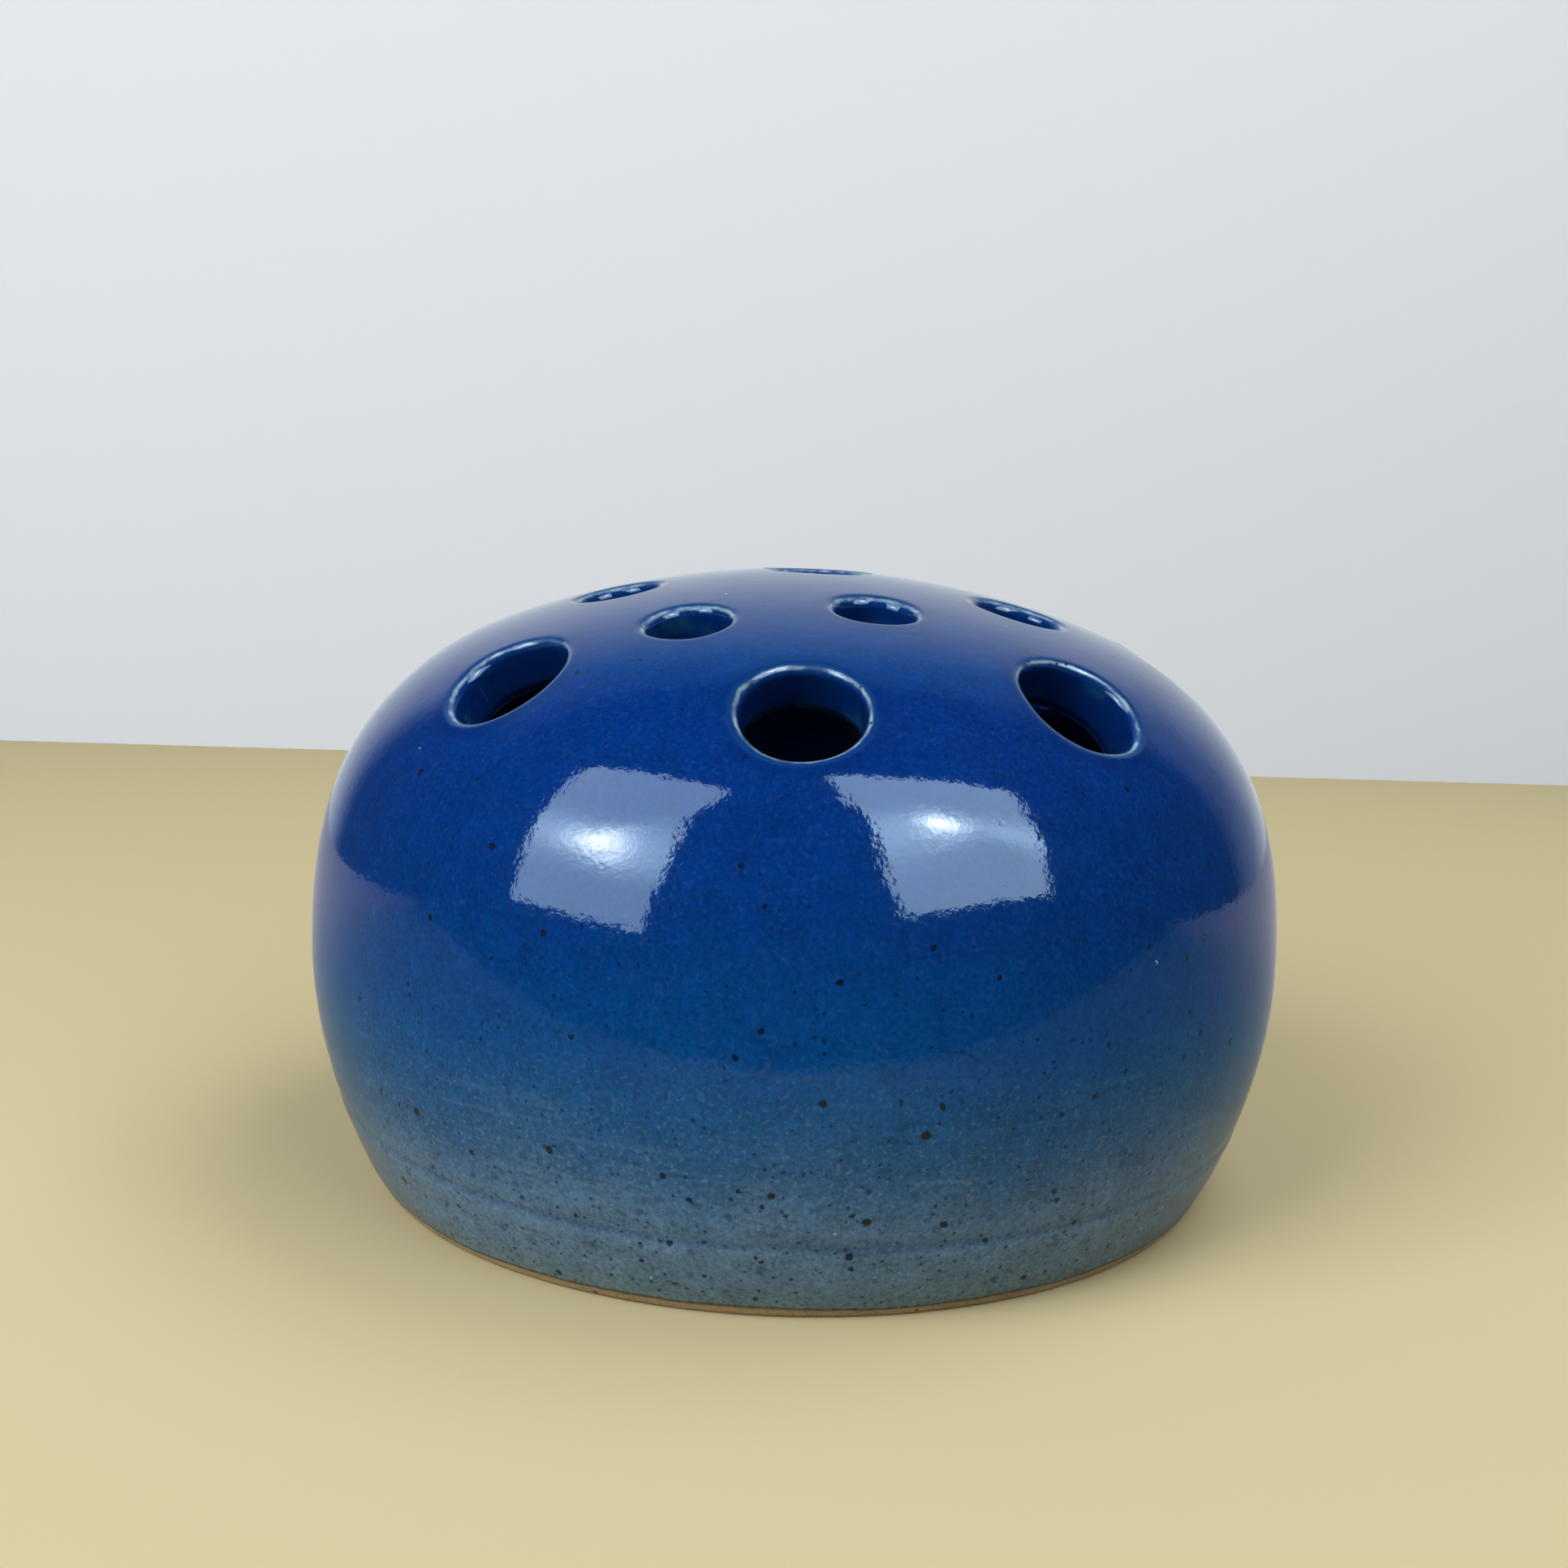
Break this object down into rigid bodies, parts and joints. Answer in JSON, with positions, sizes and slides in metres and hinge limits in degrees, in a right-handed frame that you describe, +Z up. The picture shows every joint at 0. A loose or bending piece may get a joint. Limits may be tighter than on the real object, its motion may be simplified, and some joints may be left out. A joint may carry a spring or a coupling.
{
  "type": "flower frog",
  "caption": "Squat domed stoneware flower frog with a blue glaze: a closed water reservoir with rings of stem holes over its crown that hold cut flowers upright.",
  "frame": {"origin": "centre of the foot's flat underside, on the surface it stands on", "axes": "+Z up through the crown, -Y towards the front, +X to the right seen from the front"},
  "size_m": [0.12, 0.12, 0.0741],
  "materials": {
    "stoneware": "bare toasted stoneware, matt",
    "blue_glaze": "glossy cobalt glaze, paler and speckled low down, breaking pale at the rims",
    "liner_blue": "glossy dark blue liner"
  },
  "bodies": {
    "root": {"clay_body": "stoneware", "outer_glaze": "blue_glaze", "liner_glaze": "liner_blue"}
  },
  "joints": []
}
